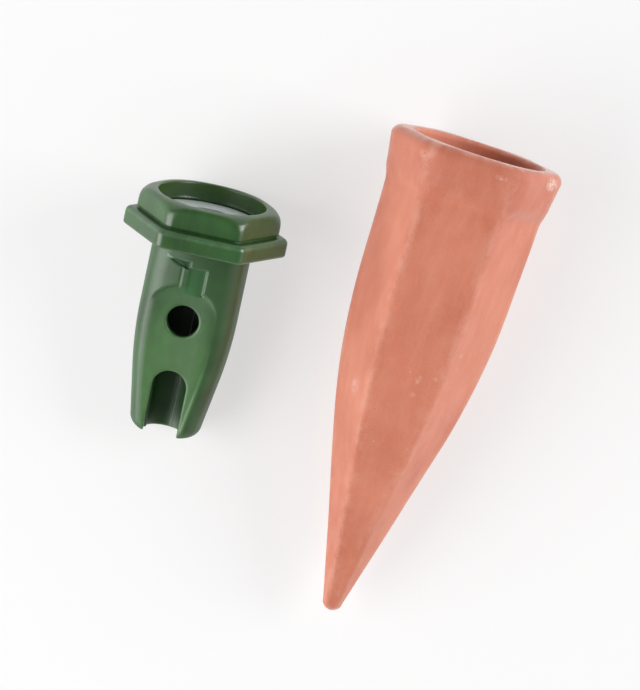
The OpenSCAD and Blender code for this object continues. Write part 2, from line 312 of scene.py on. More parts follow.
def notch_arm(x, z):
    """Distance from the slanting edge of the notch's arm."""
    return (NOTCH_LEFT - x) * math.sin(ARM_SLOPE) - (z + NOTCH_TOP) * math.cos(ARM_SLOPE)


def notch_field(x, y, z, size):
    """The notch between the flange and the recess, with its slanting side and its arm."""
    depth = -z
    face = size["flat at flange"] - NOTCH_FACE
    floor = y + face - NOTCH_CUT
    slope = math.atan2(NOTCH_CUT, NOTCH_BEVEL)
    slant = (NOTCH_LEFT - x) * math.sin(slope) + (y + face) * math.cos(slope)
    main = both(both(slant, x - NOTCH_RIGHT), both(NOTCH_TOP - depth, depth - NOTCH_FOOT))
    arm = both(both(notch_arm(x, z), x - (NOTCH_LEFT + NOTCH_BEVEL)), ARM_TOP - depth)
    return both(main.least(arm), floor, NOTCH_FLOOR_R)


def notch_highlight_field(x, y, z):
    """Distance from the painted highlight on the notch's arm and left side. It is colour only."""
    line = (x - NOTCH_LEFT).most(-notch_arm(x, z)).size()
    beside = line.most(NOTCH_LEFT - NOTCH_HIGHLIGHT_REACH - x)
    return beside.most(NOTCH_HIGHLIGHT_FOOT - NOTCH_FOOT - z).most(y - NOTCH_HIGHLIGHT_BACK)


print("tube fields written")

# %% The adapter's openings, and the whole moulding


def cut_fields(x, y, z, size):
    """Everything that is hollow: each field with the radius of its edge."""
    depth = -z
    front = y + FRONT_START
    bead = (1.0 - (z - size["bead middle"]).size() / BEAD_OUT).clamped() * BEAD_OUT
    round_socket = both(length(x, y) - size["socket radius"] + bead, size["washer seat"] - z)
    bore_slope = (size["bore top radius"] - size["bore end radius"]) / size["tube length"]
    bore = length(x, y) - size["bore top radius"] + depth * bore_slope
    recess = recess_field(x - RECESS_SHIFT, y, z, size)
    notch = notch_field(x - NOTCH_SHIFT, y, z, size)
    x = x - PORT_SHIFT
    port = both(length(x, depth - size["port depth"]) - size["port radius"], front)
    arch = size["slot top depth"] + size["slot half width"]
    slot = both(length(x, (arch - depth).most(0.0)) - size["slot half width"], front)
    return [(recess, RECESS_EDGE_R), (notch, NOTCH_EDGE_R), (port, OPENING_EDGE_R),
            (slot, OPENING_EDGE_R), (bore, BORE_EDGE_R), (round_socket, LIP_R)]


def adapter_field(x, y, z, size):
    """The whole moulding."""
    solid = either(head_field(x, y, z, size), tube_field(x, y, z, size), HEAD_FILLET)
    for cut, edge_r in cut_fields(x, y, z, size):
        solid = without(solid, cut, edge_r)
    return solid


print("adapter field written")

# %% [markdown]
# The tree is built once. Its group inputs carry the sizes above by name, so it can be run with
# other values. The field is a group of its own, because the sampled cube, the clean-up passes
# and the marks of edges and nooks all read it.

# %% Helpers for the adapter's tree
VOXEL = 0.42
CLEAN_PASSES = 3
EDGE_REACH = 0.6
MARK_GAIN = 3.0
TONGUE_BLUR = 0.35
NOTCH_HIGHLIGHT_GAIN = 1.5
LOW = (-26.5, -23.5, -64.4)
HIGH = (26.5, 23.5, 15.4)


def named_inputs(face, sizes):
    """Gives a tree one number input for each size."""
    for key, value in sizes.items():
        made = face.new_socket(key, in_out="INPUT", socket_type="NodeSocketFloat")
        made.default_value = value


def field_group(name, sizes, formula):
    """A node group that gives the distance at a position."""
    tree = bpy.data.node_groups.new(name, "GeometryNodeTree")
    face = tree.interface
    face.new_socket("Place", in_out="INPUT", socket_type="NodeSocketVector")
    named_inputs(face, sizes)
    face.new_socket("Distance", in_out="OUTPUT", socket_type="NodeSocketFloat")
    inputs = node(tree, "NodeGroupInput")
    split = node(tree, "ShaderNodeSeparateXYZ", Vector=inputs.outputs["Place"])
    x, y, z = (Sum(tree, out) for out in split.outputs)
    size = {key: Sum(tree, inputs.outputs[key]) for key in sizes}
    node(tree, "NodeGroupOutput", Distance=formula(x, y, z, size))
    return tree


def vector_math(tree, operation, *vectors, **sockets):
    """The output of one Vector Math node."""
    numbered = {f"_{i}": vector for i, vector in enumerate(vectors)}
    made = node(tree, "ShaderNodeVectorMath", {"operation": operation}, **numbered, **sockets)
    return made.outputs[0]


def plain_mesh(name, tree, values, lay):
    """Runs a geometry tree, and keeps its result as a plain mesh in the part's own place."""
    holder = bpy.data.objects.new(name + "_tree", bpy.data.meshes.new(name + "_tree"))
    bpy.context.scene.collection.objects.link(holder)
    modifier = holder.modifiers.new("build", "NODES")
    modifier.node_group = tree
    for item in tree.interface.items_tree:
        if item.in_out == "INPUT" and item.name in values:
            modifier[item.identifier] = values[item.name]
    depsgraph = bpy.context.evaluated_depsgraph_get()
    mesh = bpy.data.meshes.new_from_object(holder.evaluated_get(depsgraph), depsgraph=depsgraph)
    bpy.data.objects.remove(holder)
    mesh.transform(lay)
    mesh.name = name
    made = bpy.data.objects.new(name, mesh)
    bpy.context.scene.collection.objects.link(made)
    return made


print("voxels", VOXEL, "mm")

# %% Build the adapter


def moulding_tree(name, sizes, group, material):
    """Samples the field, draws its surface, cleans it, marks it and dresses it."""
    tree = bpy.data.node_groups.new(name, "GeometryNodeTree")
    face = tree.interface
    face.new_socket("Geometry", in_out="INPUT", socket_type="NodeSocketGeometry")
    face.new_socket("Geometry", in_out="OUTPUT", socket_type="NodeSocketGeometry")
    named_inputs(face, sizes)
    inputs = node(tree, "NodeGroupInput")

    def distance(along=0.0):
        """The field at a point of the surface, or a short way along its normal."""
        place = node(tree, "GeometryNodeInputPosition").outputs[0]
        if along:
            normal = node(tree, "GeometryNodeInputNormal").outputs[0]
            step = vector_math(tree, "SCALE", normal, Scale=along)
            place = vector_math(tree, "ADD", place, step)
        field = node(tree, "GeometryNodeGroup", {"node_tree": group}, Place=place)
        for key in sizes:
            tree.links.new(inputs.outputs[key], field.inputs[key])
        return Sum(tree, field.outputs[0])

    def marked(geometry, name, kind, value):
        """Keeps a value on every point, under a name that the finish reads."""
        return node(tree, "GeometryNodeStoreNamedAttribute",
                    {"data_type": kind, "domain": "POINT"},
                    Geometry=geometry, Name=name, Value=value).outputs[0]

    steps = [round((high - low) / VOXEL) for low, high in zip(LOW, HIGH)]
    cube = node(tree, "GeometryNodeVolumeCube", Density=-distance(), Background=-1.0,
                Min=LOW, Max=HIGH,
                Resolution_X=steps[0], Resolution_Y=steps[1], Resolution_Z=steps[2])
    surface = node(tree, "GeometryNodeVolumeToMesh", {"resolution_mode": "GRID"},
                   Volume=cube.outputs[0], Threshold=0.0, Adaptivity=0.0).outputs[0]
    for _ in range(CLEAN_PASSES):
        normal = node(tree, "GeometryNodeInputNormal").outputs[0]
        shift = vector_math(tree, "SCALE", normal, Scale=-distance())
        surface = node(tree, "GeometryNodeSetPosition", Geometry=surface, Offset=shift).outputs[0]
    here = node(tree, "GeometryNodeInputPosition").outputs[0]
    split = node(tree, "ShaderNodeSeparateXYZ", Vector=here)
    x, y, z = (Sum(tree, out) for out in split.outputs)
    size = {key: Sum(tree, inputs.outputs[key]) for key in sizes}
    surface = marked(surface, "upright", "FLOAT_VECTOR", here)
    recess_mark, notch_mark = RECESS_SHIFT + MARK_SHIFT, NOTCH_SHIFT + MARK_SHIFT
    for mark_name, value in (
            ("edge", (distance(-EDGE_REACH) / EDGE_REACH + 1.0) * MARK_GAIN),
            ("nook", (1.0 - distance(EDGE_REACH) / EDGE_REACH) * MARK_GAIN),
            ("tongue", 1.0 - recess_field(x - recess_mark, y, z, size) / TONGUE_BLUR),
            # The notch's line is a painted highlight.
            ("notch_highlight", NOTCH_HIGHLIGHT_GAIN - notch_highlight_field(x - notch_mark, y, z) / NOTCH_HIGHLIGHT_WIDTH)):
        surface = marked(surface, mark_name, "FLOAT", value)
    smooth = node(tree, "GeometryNodeSetShadeSmooth", Geometry=surface).outputs[0]
    real = node(tree, "GeometryNodeRealizeInstances", Geometry=smooth).outputs[0]
    dressed = node(tree, "GeometryNodeSetMaterial", Geometry=real, Material=material).outputs[0]
    node(tree, "NodeGroupOutput", Geometry=dressed)
    return tree


green = bpy.data.materials.new("green_moulding")
adapter_group = field_group("adapter_field", ADAPTER, adapter_field)
adapter_tree = moulding_tree("adapter_moulding", ADAPTER, adapter_group, green)
adapter = plain_mesh("moulded_adapter", adapter_tree, ADAPTER, adapter_lay)
print("adapter:", len(adapter.data.polygons), "faces")
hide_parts("bottle_adapter")
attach(adapter, "adapter")

# %% [markdown]
# ## The terracotta spike
# The real spike is most likely slip-cast: liquid clay sets against the inside of a six-sided
# mould. So the outside has soft ridges, the inside is taken to follow it at one wall's thickness,
# and nothing is quite true. It is built as a loft: rings of points from the tip up the outside,
# over the rim and down into the hollow. A slow ripple, always towards the axis, takes off the
# machine-made look.

# %% The spike's profile, in millimetres
SPIKE_LENGTH = 153.0
TIP_R = 3.3
TIP_BLUNT = 0.98
TIP_CORNER_R = 2.0
BODY_REACH = 25.4
BODY_CORNER_R = 2.6
BODY_DRAFT = math.tan(math.radians(1.7))
KNEE_START, KNEE_END = 45.0, 95.0
RIM_REACH = 27.9
RIM_HEIGHT = 14.5
RIM_TAPER = 1.2
RIM_CORNER_R = 13.0
RIM_FOOT = 3.4
OUTER_EDGE_R = 3.1
INNER_EDGE_R = 1.7
MOUTH_R = 20.7
FLARE_DEPTH = 19.0
CLAY_WALL = 5.0
CAVITY_DEPTH = 124.0
CAVITY_CORNER_R = 7.0
CAVITY_FLOOR_R = 3.8
ROUNDEST = 0.97

knee_length = KNEE_END - KNEE_START
knee_reach = BODY_REACH - (KNEE_START - RIM_HEIGHT) * BODY_DRAFT
tip_centre = SPIKE_LENGTH - TIP_R
point_slope = (knee_reach - knee_length * BODY_DRAFT / 2 - TIP_R) \
    / (knee_length / 2 + tip_centre - KNEE_END)


def spike_reach(depth):
    """Distance from the axis to a ridge, at a depth below the mouth."""
    past = max(depth - KNEE_START, 0.0)
    if depth < KNEE_END:
        return BODY_REACH - (depth - RIM_HEIGHT) * BODY_DRAFT \
            - past * past * (point_slope - BODY_DRAFT) / (2 * knee_length)
    return knee_reach - knee_length * (BODY_DRAFT + point_slope) / 2 \
        - (depth - KNEE_END) * point_slope


def corner_r(depth):
    """Rounding of the six ridges: soft on the body, crisper towards the tip."""
    along = max((depth - KNEE_START) / (tip_centre - KNEE_START), 0.0)
    return BODY_CORNER_R + (TIP_CORNER_R - BODY_CORNER_R) * along


def flat_of(reach, r):
    """Distance from the axis to a flat, from the distance to a rounded corner."""
    return (reach - r) * COS30 + r


def reach_of(flat, r):
    """Distance from the axis to a rounded corner, from the distance to a flat."""
    return (flat - r) / COS30 + r


def eased(share):
    """A share from 0 to 1 that starts and ends gently."""
    return share * share * (3 - 2 * share)


def quarter_turn(count):
    """Angles from 0 to a right angle, both included."""
    return [math.pi / 2 * i / count for i in range(count + 1)]


print("point slope", round(math.degrees(math.atan(point_slope)), 2), "degrees")

# %% Rings of the spike, outside and inside
TIP_RINGS = 12
SWELL_RINGS = 12
FACE_RINGS = 10
OUTER_EDGE_RINGS = 10
INNER_EDGE_RINGS = 8
FLARE_RINGS = 16
FLOOR_RINGS = 8
OUTER_ROW = 1.0
INNER_ROW = 1.5


def outside_rings():
    """Depth, reach and corner radius of each ring from the tip to the foot of the rim."""
    rings = []
    start = math.atan(point_slope)
    for i in range(TIP_RINGS, 0, -1):
        angle = start + (math.pi / 2 - start) * i / (TIP_RINGS + 0.5)
        rings.append((tip_centre + TIP_BLUNT * TIP_R * math.sin(angle), TIP_R * math.cos(angle),
                      TIP_CORNER_R))
    for depth in np.arange(tip_centre, RIM_HEIGHT + RIM_FOOT, -OUTER_ROW):
        rings.append((depth, spike_reach(depth), corner_r(depth)))
    return rings


def rim_rings():
    """The rim: its foot swells out of the body, and its outer edge is rounded."""
    rings = []
    under = RIM_REACH - RIM_TAPER
    for i in range(SWELL_RINGS + 1):
        share = i / SWELL_RINGS
        depth = RIM_HEIGHT + RIM_FOOT - 2 * RIM_FOOT * share
        reach = spike_reach(depth) + (under - spike_reach(depth)) * eased(share)
        rings.append((depth, reach, BODY_CORNER_R + (RIM_CORNER_R - BODY_CORNER_R) * eased(share)))
    top_depth = RIM_HEIGHT - RIM_FOOT
    for i in range(1, FACE_RINGS):
        share = i / FACE_RINGS
        rings.append((top_depth + (OUTER_EDGE_R - top_depth) * share, under + RIM_TAPER * share,
                      RIM_CORNER_R))
    for angle in quarter_turn(OUTER_EDGE_RINGS):
        inset = OUTER_EDGE_R * (1 - math.cos(angle))
        rings.append((OUTER_EDGE_R * (1 - math.sin(angle)), RIM_REACH - inset,
                      RIM_CORNER_R - inset))
    return rings


def hollow_ring(depth, inset):
    """One ring of the six-sided hollow."""
    flat = flat_of(spike_reach(depth), corner_r(depth)) - CLAY_WALL - inset
    r = min(CAVITY_CORNER_R, flat * ROUNDEST)
    return (depth, reach_of(flat, r), r)


def inside_rings():
    """The mouth's rounded edge, the flare, and the six-sided hollow down to its floor."""
    rings = []
    for angle in quarter_turn(INNER_EDGE_RINGS):
        rings.append((INNER_EDGE_R * (1 - math.cos(angle)),
                      MOUTH_R + INNER_EDGE_R * (1 - math.sin(angle)), MOUTH_R))
    flat_end = flat_of(spike_reach(FLARE_DEPTH), corner_r(FLARE_DEPTH)) - CLAY_WALL
    for i in range(1, FLARE_RINGS):
        share = i / FLARE_RINGS
        flat = MOUTH_R + (flat_end - MOUTH_R) * eased(share)
        r = min(MOUTH_R + (CAVITY_CORNER_R - MOUTH_R) * eased(share), flat * ROUNDEST)
        rings.append((INNER_EDGE_R + (FLARE_DEPTH - INNER_EDGE_R) * share, reach_of(flat, r), r))
    for depth in np.arange(FLARE_DEPTH, CAVITY_DEPTH - CAVITY_FLOOR_R, INNER_ROW):
        rings.append(hollow_ring(depth, 0.0))
    for angle in quarter_turn(FLOOR_RINGS)[:-1]:
        rings.append(hollow_ring(CAVITY_DEPTH - CAVITY_FLOOR_R * (1 - math.sin(angle)),
                                 CAVITY_FLOOR_R * (1 - math.cos(angle))))
    return rings


outer_rings = outside_rings() + rim_rings()
rings = outer_rings + inside_rings()
print("spike rings:", len(rings))

# %% Points and faces of the spike
AROUND = 168
RIDGE_WIDTH = 1.8
SHARPEST = 0.999
RIPPLE = 0.045
WAVES = [(2, 0.043, 0.0, 1.0), (3, -0.071, 1.3, 1.0), (5, 0.19, 0.0, 0.7)]
WANDER_RATE, WANDER_START, WANDER_SWING, WANDER_SHARE = 0.11, 0.7, 1.5, 0.7


def ring_radius(reach, r, angle):
    """Distance from the axis to a rounded six-sided ring, in a direction."""
    r = min(r, reach * SHARPEST)
    to_flat = (angle % (math.pi / 3)) - math.pi / 6
    to_corner = abs(to_flat) - math.pi / 6
    flat, centre = flat_of(reach, r), reach - r
    if abs(flat * math.tan(to_flat)) <= centre / 2:
        return flat / math.cos(to_flat)
    off_line = centre * math.sin(to_corner)
    return centre * math.cos(to_corner) + math.sqrt(max(r * r - off_line ** 2, 0.0))


def ripple(angle, depth):
    """How far the clay is drawn in towards the axis, in millimetres: never negative."""
    wander = math.sin(depth * WANDER_RATE + WANDER_START + WANDER_SWING * math.cos(angle))
    waves = sum(share * (1 + math.sin(turns * angle + rate * depth + start))
                for turns, rate, start, share in WAVES)
    return RIPPLE * (waves + WANDER_SHARE * (1 + wander))


def loft(name, rings, outer_count, lay):
    """Skins the rings, with a point at each end, and lays the result on the table."""
    points, faces, ridges, insides = [], [], [], []
    for k, (depth, reach, r) in enumerate(rings):
        hollow = float(k >= outer_count)
        for i in range(AROUND):
            angle = 2 * math.pi * i / AROUND
            radius = ring_radius(reach, r, angle) - ripple(angle, depth) * min(reach / 10, 1)
            points.append((radius * math.cos(angle), radius * math.sin(angle), -depth))
            off_ridge = radius * ((angle + math.pi / 6) % (math.pi / 3) - math.pi / 6)
            ridges.append((1 - hollow) * math.exp(-(off_ridge / RIDGE_WIDTH) ** 2))
            insides.append(hollow)
    for k in range(len(rings) - 1):
        for i in range(AROUND):
            a, b = k * AROUND + i, k * AROUND + (i + 1) % AROUND
            faces.append((a, b, b + AROUND, a + AROUND))
    for ring, is_tip in ((0, True), (len(rings) - 1, False)):
        middle = len(points)
        ridges.append(0.0)
        insides.append(float(not is_tip))
        end = SPIKE_LENGTH - (1 - TIP_BLUNT) * TIP_R if is_tip else CAVITY_DEPTH
        points.append((0.0, 0.0, -end))
        for i in range(AROUND):
            a, b = ring * AROUND + i, ring * AROUND + (i + 1) % AROUND
            faces.append((b, a, middle) if is_tip else (a, b, middle))
    mesh = bpy.data.meshes.new(name)
    mesh.from_pydata(points, [], faces)
    for key, kind, field, values in (("upright", "FLOAT_VECTOR", "vector", points),
                                     ("ridge", "FLOAT", "value", ridges),
                                     ("inside", "FLOAT", "value", insides)):
        flat_values = np.array(values, dtype=np.float32).ravel()
        mesh.attributes.new(key, kind, "POINT").data.foreach_set(field, flat_values)
    mesh.transform(lay)
    mesh.shade_smooth()
    made = bpy.data.objects.new(name, mesh)
    bpy.context.scene.collection.objects.link(made)
    return made


print("loft ready:", AROUND, "points around")

# %% Build the spike
# The tilt at which the spike rests on its rim and its body, and the height of its seat then.
SPIKE_TILT = math.radians(5.00327)
SPIKE_RISE = 26.0872
spike_lay = laid_down(SPIKE_TILT, math.radians(SPIKE_LEAN),
                      Vector((*SPIKE_SEAT, SPIKE_RISE)) * MM)
spike = loft("clay_spike", rings, len(outer_rings), spike_lay)
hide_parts("terracotta_spike")
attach(spike, "spike")
print("spike:", len(spike.data.polygons), "faces")

# %% [markdown]
# ## Finishes
# Each finish is a node material. The patterns of the clay and the green plastic read "upright",
# the place of a point on its own piece in upright millimetres, so they stay on the piece in every
# pose. They also read the marks that were kept when the piece was made: edges, nooks, the recess,
# the line of the notch's painted highlight, the ridges and the hollow inside.

# %% Helpers for the finishes


def open_finish(material):
    """The material's tree and its shader."""
    material.use_nodes = True
    return material.node_tree, material.node_tree.nodes["Principled BSDF"]


def mark(tree, name):
    """A value that was kept on the piece, held between 0 and 1."""
    attribute = node(tree, "ShaderNodeAttribute", {"attribute_name": name})
    return Sum(tree, attribute.outputs["Fac"]).clamped()


def upright_place(tree):
    """The place of a point on its own piece, whole and as three numbers."""
    place = node(tree, "ShaderNodeAttribute", {"attribute_name": "upright"}).outputs["Vector"]
    split = node(tree, "ShaderNodeSeparateXYZ", Vector=place)
    return place, [Sum(tree, out) for out in split.outputs]


def cloud(tree, place, grain, detail=2.0, rough=0.5):
    """Soft noise round 0.5. Its features are about the given sizes across, along x, y and z."""
    scaled = vector_math(tree, "DIVIDE", place, grain)
    return Sum(tree, node(tree, "ShaderNodeTexNoise", Vector=scaled, Scale=1.0, Detail=detail,
                          Roughness=rough).outputs[0])


def specks(tree, place, spacing, radius, share):
    """Small spots, one in each cell of the given spacing, and only in a share of the cells."""
    scaled = vector_math(tree, "DIVIDE", place, (spacing,) * 3)
    cells = node(tree, "ShaderNodeTexVoronoi", Vector=scaled, Scale=1.0)
    chosen = node(tree, "ShaderNodeSeparateXYZ", Vector=cells.outputs["Color"])
    size = Sum(tree, chosen.outputs[1]) * (radius / spacing)
    sharpness = 3.0 * spacing / radius
    spot = ((size - Sum(tree, cells.outputs["Distance"])) * sharpness).clamped()
    return spot * Sum(tree, chosen.outputs[0]).below(share)


def ramp(value, low, high):
    """0 at the low value, 1 at the high one."""
    return ((value - low) / (high - low)).clamped()


def blend(tree, share, under, over):
    """One colour laid over another."""
    return node(tree, "ShaderNodeMix", {"data_type": "RGBA"}, _0=share, _6=under,
                _7=over).outputs[2]


def layered(tree, colour, layers):
    """Lays colours over a first one, in turn. Each layer is a share and a colour."""
    for share, over in layers:
        colour = blend(tree, share, colour, over)
    return colour


def finished(tree, shader, colour, roughness, height, depth_mm, **constants):
    """Feeds the shader: colour, roughness, a bump in units of depth_mm, and constants."""
    tree.links.new(colour, shader.inputs["Base Color"])
    feed(tree, shader.inputs["Roughness"], roughness)
    bump = node(tree, "ShaderNodeBump", Height=height, Strength=1.0, Distance=depth_mm * MM)
    tree.links.new(bump.outputs[0], shader.inputs["Normal"])
    for name, value in constants.items():
        shader.inputs[name.replace("_", " ")].default_value = value


print("finish helpers ready")

# %% [markdown]
# ### Fired clay
# Terracotta is never one colour. Iron in it gathers in soft clouds, salts dry on the ridges and
# the rim as a pale bloom, sand and lime show as specks, and handling leaves a few pale scuffs.
# Painted shade darkens the hollow, more the deeper it goes. The rim and the tip are darker too,
# partly in the clay's own deeper tone and partly with painted shade.

# %% The fired clay's colours and scuffs
CLAY_DEEP = (0.550, 0.146, 0.074, 1)
CLAY_WARM = (0.640, 0.196, 0.108, 1)
CLAY_BLOOM = (0.730, 0.350, 0.255, 1)
CLAY_DARK = (0.330, 0.095, 0.050, 1)
CLAY_CHALK = (0.880, 0.740, 0.660, 1)
# Each zone is the height where a finish starts to change and the height where it is full.
CREST_ZONE = (-1.4, -0.2)
# The rim's and the tip's zones darken them, partly in tone and partly as painted shade.
RIM_ZONE = (-16.0, -11.0)
TIP_ZONE = (-112.0, -148.0)
# The hollow's zone is for painted shade.
HOLLOW_SHADE_ZONE = (-3.0, -24.0)
# Each scuff has a centre and a reach along x, y and z, and a strength.
SCUFFS = {
    "rim end": ((25.6, -8.6, -3.0), (3.6, 3.4, 2.1), 1.2),
    "rim front": ((9.1, -25.7, -4.4), (2.2, 2.0, 0.8), 0.4),
    "rim left": ((-16.2, -22.2, -4.9), (2.4, 2.0, 1.6), 0.3),
    "facet middle": ((4.0, -19.5, -72.7), (1.1, 1.5, 1.8), 0.3),
    "facet right": ((9.0, -19.8, -70.7), (1.2, 1.5, 0.8), 0.3),
    "below": ((3.6, -18.8, -77.7), (1.0, 1.5, 1.0), 0.3),
    "left graze": ((-14.4, -11.4, -81.5), (2.6, 3.0, 3.4), 0.4),
    "right ridge": ((14.7, -16.1, -61.7), (0.8, 1.0, 0.8), 0.7),
}
SCUFF_EDGE = 1.25


def scuff_share(tree, place):
    """How much of the clay is rubbed pale by the scuffs, before it is broken up."""
    scuffed = None
    for centre, reach, strength in SCUFFS.values():
        away = vector_math(tree, "DIVIDE", vector_math(tree, "SUBTRACT", place, centre), reach)
        far = node(tree, "ShaderNodeVectorMath", {"operation": "LENGTH"}, _0=away)
        spot = (SCUFF_EDGE - Sum(tree, far.outputs["Value"])).clamped() * strength
        scuffed = spot if scuffed is None else scuffed + spot
    return scuffed


print(len(SCUFFS), "scuffs")

# %% The fired clay


def clay_finish(material):
    """Clouds, streaks, grain, wear, specks and scuffs over a warm clay, and some painted shade."""
    tree, shader = open_finish(material)
    place, (_, _, z) = upright_place(tree)
    ridge, inside = mark(tree, "ridge"), mark(tree, "inside")
    outside, crest = 1.0 - inside, ramp(z, *CREST_ZONE)
    # The rim and the tip are darker: partly the clay's own deeper tone, partly painted shade.
    rim_tip_tone_and_shade = ramp(z, *RIM_ZONE) + ramp(z, *TIP_ZONE)
    broad = ramp(cloud(tree, place, (17.0, 17.0, 26.0), 3.0), 0.36, 0.62)
    patchy = ramp(cloud(tree, place, (4.2, 4.2, 7.0), 4.0, 0.6), 0.42, 0.72)
    streaky = ramp(cloud(tree, place, (2.9, 2.9, 24.0), 4.0, 0.6), 0.46, 0.74)
    grain = cloud(tree, place, (0.42, 0.42, 0.5), 3.0, 0.7)
    broken = ramp(cloud(tree, place, (0.8, 0.8, 1.0), 4.0, 0.75), 0.42, 0.62)
    worn = (ridge * 0.30 + crest * 0.45) * ramp(patchy + grain, 0.45, 1.1)
    pits = specks(tree, place, 2.6, 0.32, 0.35)
    body = blend(tree, (broad - rim_tip_tone_and_shade * outside * 0.5).clamped(), CLAY_DEEP, CLAY_WARM)
    colour = layered(tree, body, [
        (rim_tip_tone_and_shade * outside * 0.08, CLAY_DARK),
        (patchy * 0.16, CLAY_BLOOM),
        (streaky * 0.13, CLAY_BLOOM),
        (worn.clamped(), CLAY_BLOOM),
        (ramp(grain, 0.50, 0.30) * 0.14, CLAY_DARK),
        (ramp(grain, 0.54, 0.74) * 0.20, CLAY_BLOOM),
        (specks(tree, place, 4.6, 0.55, 0.45) * 0.40, CLAY_BLOOM),
        (specks(tree, place, 3.4, 0.34, 0.30) * 0.45, CLAY_DARK),
        # Painted shade: the hollow darkens the deeper it goes.
        (inside * ramp(z, *HOLLOW_SHADE_ZONE) * 0.45, CLAY_DARK),
        ((scuff_share(tree, place) * broken).clamped(), CLAY_CHALK),
    ])
    finished(tree, shader, colour, 0.60 + grain * 0.16 - worn * 0.06,
             grain * 0.55 + patchy * 0.25 - pits * 0.6, 0.12,
             Sheen_Weight=0.60, Sheen_Roughness=0.40, Specular_IOR_Level=0.7)


clay = bpy.data.materials.new("fired_clay")
clay_finish(clay)
spike.data.materials.append(clay)
print("clay nodes:", len(clay.node_tree.nodes))

# %% [markdown]
# ### Green moulding
# The plastic is glossier on the head and duller on the tube. The recess and the socket's lip
# are painted a livelier green, a painted glow for the light that thin places let through. The
# floor of the notch is a deeper, clearer green: painted shade under the flange, with that glow.
# Faint flow lines run up the head. The nooks and the deep bore are darkened with painted shade,
# and the edges, the flange's upper edge, the notch's left side and the seam in the bore carry
# painted highlights.

# %% The green moulding
GREEN_DEEP = (0.017, 0.062, 0.012, 1)
GREEN_BODY = (0.026, 0.095, 0.022, 1)
GREEN_THIN = (0.056, 0.165, 0.036, 1)
GREEN_OLIVE = (0.050, 0.110, 0.018, 1)
# Painted highlights on the edges, the flange, the notch's side and the seam.
GREEN_HIGHLIGHT = (0.190, 0.330, 0.200, 1)
# Painted shade deep in the bore.
GREEN_BORE_SHADE = (0.004, 0.010, 0.005, 1)
GREEN_CLEAR = (0.012, 0.108, 0.016, 1)
HEAD_ZONE = (-0.4, 0.2)
# Where the socket's lip gets its painted glow.
LIP_GLOW_ZONE = (9.0, 13.5)
LIP_GLOW_WIDTH = 1.4
# Where the recess's painted glow grows, towards the port.
THIN_GLOW_ZONE = (-20.0, -33.0)
# Where the bore's painted shade starts and where it is full.
BORE_SHADE_ZONE = (-44.0, -36.0)
BORE_BLUR = 0.4
SEAM_X = 1.6
# Height of the painted highlight on the flange's upper edge.
FLANGE_HIGHLIGHT_HEIGHT = 4.9
# Where the notch's floor gets its painted shade and glow.
NOTCH_SHADE_GLOW_DEPTH = (-9.7, -9.2)
NOTCH_SHADE_GLOW_TOP = (-6.0, -7.0)
NOTCH_SHADE_GLOW_FOOT = (-16.6, -15.8)
NOTCH_SHADE_GLOW_MIDDLE = 0.3
NOTCH_SHADE_GLOW_HALF = 4.3


